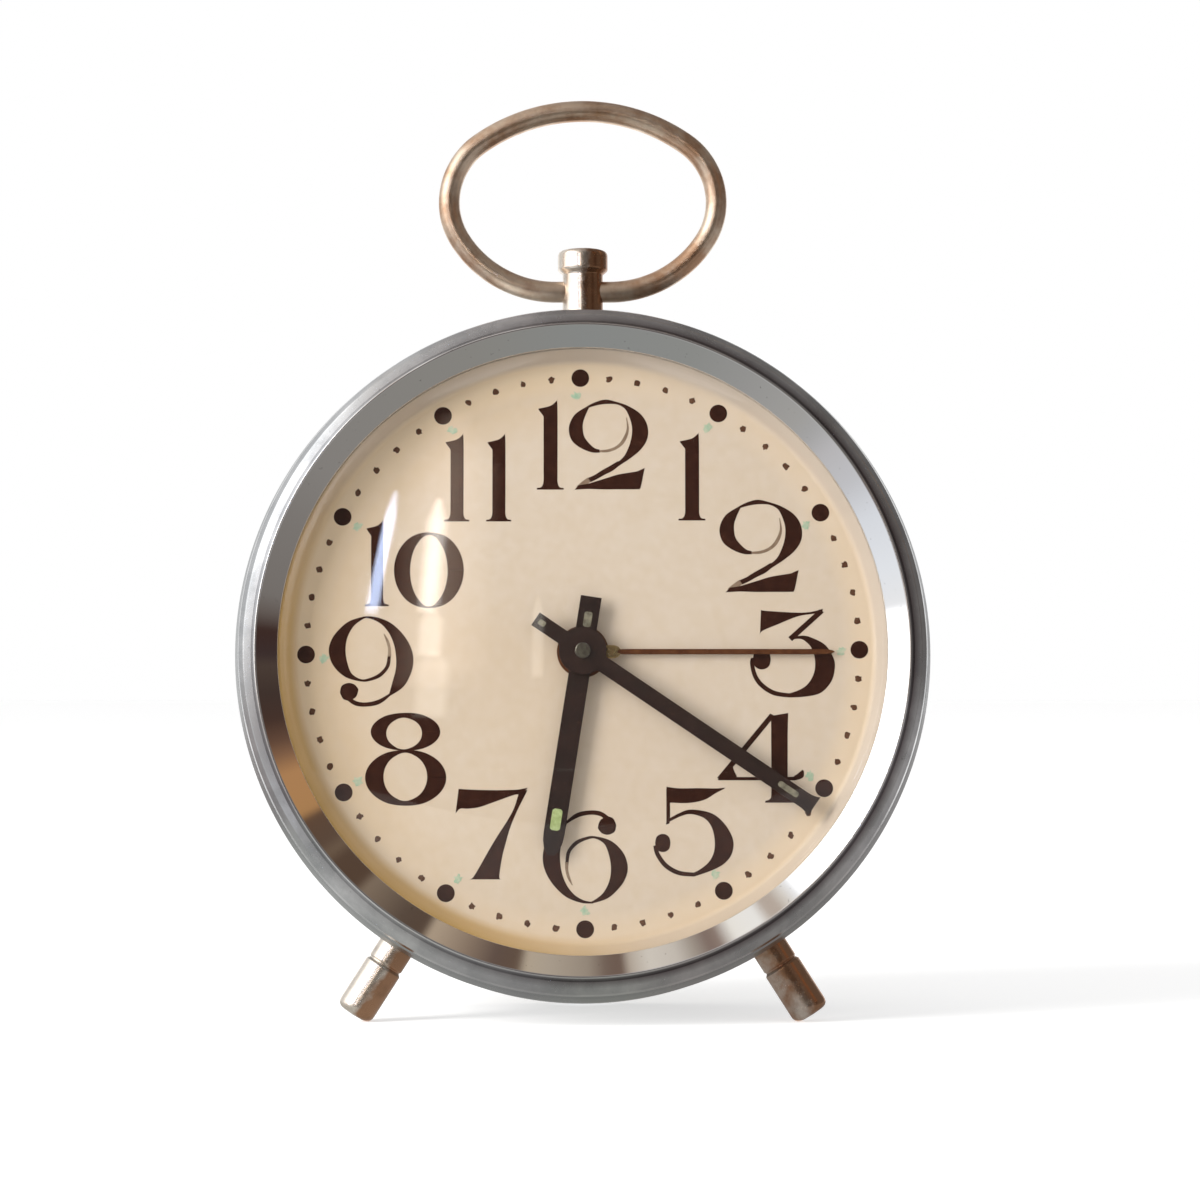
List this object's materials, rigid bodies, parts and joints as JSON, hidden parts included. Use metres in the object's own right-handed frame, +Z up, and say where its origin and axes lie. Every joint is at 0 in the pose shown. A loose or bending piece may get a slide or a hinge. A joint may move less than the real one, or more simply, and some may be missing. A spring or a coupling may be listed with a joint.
{
  "type": "mechanical alarm clock",
  "caption": "Wind-up alarm clock in a round metal drum with a domed crystal, ring handle and two slanted feet.",
  "frame": {"origin": "on the table under the middle of the clock's box", "axes": "+Z up, the dial faces -Y, +X to the right as one looks at the dial"},
  "size_m": [0.1, 0.0624, 0.1345],
  "materials": {
    "case_nickel": "dull polished nickel plate with fine scratches",
    "bezel_chrome": "bright polished chrome",
    "worn_nickel": "worn nickel on copper, warm and shiny",
    "crystal_glass": "clear domed glass",
    "dial_paint": "aged cream paint, matt",
    "hand_paint": "black satin paint",
    "alarm_hand_paint": "dark brown paint with a bare brass root",
    "back_steel": "satin nickel plate",
    "brass_plate": "rolled brass, satin",
    "brass_wheel": "stamped brass, bright",
    "arbor_steel": "polished steel",
    "spring_steel": "blued spring steel",
    "screw_steel": "turned steel",
    "key_brass": "stamped brass, worn",
    "bell_steel": "plated steel"
  },
  "bodies": {
    "case": {"case_body": "case_nickel", "bezel": "bezel_chrome", "crystal": "crystal_glass", "dial": "dial_paint", "handle_stud": "worn_nickel", "handle_stud_nut": "screw_steel", "foot_left": "worn_nickel", "foot_right": "worn_nickel", "foot_nuts": "screw_steel", "front_plate": "brass_plate", "rear_plate": "brass_plate", "plate_pillars": "arbor_steel", "pillar_nuts": "screw_steel", "case_brackets": "back_steel", "movement_screws": "screw_steel", "alarm_release_spring": "spring_steel", "going_mainspring": "spring_steel", "balance_screws": "screw_steel", "hairspring": "spring_steel", "hairspring_stud": "brass_plate", "alarm_mainspring": "spring_steel", "bell": "bell_steel", "bell_post": "arbor_steel", "bell_screw": "screw_steel", "back_cover": "back_steel", "cover_posts": "arbor_steel", "cover_screws": "screw_steel"},
    "handle": {"handle_ring": "worn_nickel"},
    "hand_arbor": {"centre_arbor": "arbor_steel", "hand_friction_spring": "spring_steel", "cannon_pinion": "arbor_steel", "minute_hand": "hand_paint", "hand_set_knob": "key_brass"},
    "minute_wheel": {"minute_wheel": "brass_wheel"},
    "hour_display": {"hour_wheel": "brass_wheel", "hour_hand": "hand_paint"},
    "alarm_setter": {"alarm_set_arbor": "arbor_steel", "alarm_set_knob": "key_brass"},
    "alarm_display": {"alarm_wheel": "brass_wheel", "alarm_hand": "alarm_hand_paint"},
    "fourth_wheel": {"fourth_wheel": "brass_wheel"},
    "third_wheel": {"third_wheel": "brass_wheel"},
    "centre_wheel": {"centre_wheel": "brass_wheel"},
    "great_wheel": {"great_wheel": "brass_wheel"},
    "escape_wheel": {"escape_wheel": "brass_wheel"},
    "going_winder": {"going_winding_arbor": "arbor_steel", "going_key": "key_brass"},
    "going_click": {"going_click": "screw_steel"},
    "pallet_lever": {"pallet_lever": "arbor_steel"},
    "balance": {"balance_wheel": "brass_wheel"},
    "regulator": {"regulator_lever": "brass_plate"},
    "alarm_escape_wheel": {"alarm_escape_wheel": "arbor_steel"},
    "alarm_great_wheel": {"alarm_great_wheel": "brass_wheel"},
    "alarm_winder": {"alarm_winding_arbor": "arbor_steel", "alarm_key": "key_brass"},
    "alarm_click": {"alarm_click": "screw_steel"},
    "hammer": {"alarm_hammer": "arbor_steel"},
    "alarm_stop": {"alarm_stop_knob": "key_brass"}
  },
  "joints": [
    {"name": "handle_swing", "type": "hinge", "parent": "case", "child": "handle", "pos_m": [0, -0.00166, 0.10628], "axis": [1, 0, 0], "range_deg": [-100, 100]},
    {"name": "hand_setting", "type": "hinge", "parent": "case", "child": "hand_arbor", "pos_m": [0, -0.01043, 0.05219], "axis": [0, 0.9962, -0.0875], "continuous": true},
    {"name": "minute_wheel_turn", "type": "hinge", "parent": "case", "child": "minute_wheel", "pos_m": [-0.00167, -0.01125, 0.04275], "axis": [0, 0.9962, -0.0875], "continuous": true},
    {"name": "hour_hand_turn", "type": "hinge", "parent": "case", "child": "hour_display", "pos_m": [0, -0.01043, 0.05219], "axis": [0, 0.9962, -0.0875], "continuous": true},
    {"name": "alarm_setting", "type": "hinge", "parent": "case", "child": "alarm_setter", "pos_m": [0.01364, -0.01011, 0.05583], "axis": [0, 0.9962, -0.0875], "continuous": true},
    {"name": "alarm_hand_turn", "type": "hinge", "parent": "case", "child": "alarm_display", "pos_m": [0, -0.01043, 0.05219], "axis": [0, 0.9962, -0.0875], "continuous": true},
    {"name": "fourth_wheel_turn", "type": "hinge", "parent": "case", "child": "fourth_wheel", "pos_m": [0.00618, -0.00897, 0.06876], "axis": [0, 0.9962, -0.0875], "continuous": true},
    {"name": "third_wheel_turn", "type": "hinge", "parent": "case", "child": "third_wheel", "pos_m": [-0.00462, -0.00931, 0.06484], "axis": [0, 0.9962, -0.0875], "continuous": true},
    {"name": "centre_wheel_turn", "type": "hinge", "parent": "case", "child": "centre_wheel", "pos_m": [0, -0.01043, 0.05219], "axis": [0, 0.9962, -0.0875], "continuous": true},
    {"name": "great_wheel_turn", "type": "hinge", "parent": "case", "child": "great_wheel", "pos_m": [-0.01607, -0.01141, 0.04098], "axis": [0, 0.9962, -0.0875], "continuous": true},
    {"name": "escape_wheel_turn", "type": "hinge", "parent": "case", "child": "escape_wheel", "pos_m": [0.01159, -0.00815, 0.07809], "axis": [0, 0.9962, -0.0875], "continuous": true},
    {"name": "going_winding", "type": "hinge", "parent": "great_wheel", "child": "going_winder", "pos_m": [-0.01607, -0.01141, 0.04098], "axis": [0, 0.9962, -0.0875], "range_deg": [-1620, 0], "deforming": ["going_mainspring"]},
    {"name": "going_click_lift", "type": "hinge", "parent": "great_wheel", "child": "going_click", "pos_m": [-0.01227, -0.01083, 0.04753], "axis": [0, 0.9962, -0.0875], "range_deg": [0, 12], "stiffness_Nm_per_rad": 0.002},
    {"name": "pallet_rock", "type": "hinge", "parent": "case", "child": "pallet_lever", "pos_m": [0.00367, -0.00796, 0.08023], "axis": [0, 0.9962, -0.0875], "range_deg": [-3, 3]},
    {"name": "balance_swing", "type": "hinge", "parent": "case", "child": "balance", "pos_m": [-0.005, -0.00776, 0.08257], "axis": [0, 0.9962, -0.0875], "range_deg": [-220, 220], "stiffness_Nm_per_rad": 0.000008, "deforming": ["hairspring"]},
    {"name": "regulator_turn", "type": "hinge", "parent": "case", "child": "regulator", "pos_m": [-0.005, -0.00776, 0.08257], "axis": [0, 0.9962, -0.0875], "range_deg": [-18, 18]},
    {"name": "alarm_escape_turn", "type": "hinge", "parent": "case", "child": "alarm_escape_wheel", "pos_m": [0.02508, -0.01047, 0.05168], "axis": [0, 0.9962, -0.0875], "continuous": true},
    {"name": "alarm_great_turn", "type": "hinge", "parent": "case", "child": "alarm_great_wheel", "pos_m": [0.01607, -0.01141, 0.04098], "axis": [0, 0.9962, -0.0875], "continuous": true},
    {"name": "alarm_winding", "type": "hinge", "parent": "alarm_great_wheel", "child": "alarm_winder", "pos_m": [0.01607, -0.01141, 0.04098], "axis": [0, 0.9962, -0.0875], "range_deg": [-1260, 0], "deforming": ["alarm_mainspring"]},
    {"name": "alarm_click_lift", "type": "hinge", "parent": "alarm_great_wheel", "child": "alarm_click", "pos_m": [0.00893, -0.01164, 0.03839], "axis": [0, 0.9962, -0.0875], "range_deg": [0, 12], "stiffness_Nm_per_rad": 0.002},
    {"name": "hammer_strike", "type": "hinge", "parent": "case", "child": "hammer", "pos_m": [0.03061, -0.00989, 0.05824], "axis": [0, 0.9962, -0.0875], "range_deg": [-3.5, 4]},
    {"name": "alarm_stop_push", "type": "slide", "parent": "case", "child": "alarm_stop", "axis": [0, -0.9962, 0.0875], "range_m": [0, 0.003]}
  ],
  "couplings": [
    {"joint": "minute_wheel_turn", "follows": "hand_setting", "ratio": -0.33333},
    {"joint": "hour_hand_turn", "follows": "hand_setting", "ratio": 0.083333},
    {"joint": "alarm_hand_turn", "follows": "alarm_setting", "ratio": -0.25},
    {"joint": "third_wheel_turn", "follows": "fourth_wheel_turn", "ratio": -0.13333},
    {"joint": "centre_wheel_turn", "follows": "fourth_wheel_turn", "ratio": 0.016667},
    {"joint": "great_wheel_turn", "follows": "fourth_wheel_turn", "ratio": -0.0027778},
    {"joint": "escape_wheel_turn", "follows": "fourth_wheel_turn", "ratio": -8},
    {"joint": "alarm_great_turn", "follows": "alarm_escape_turn", "ratio": -0.16667}
  ]
}
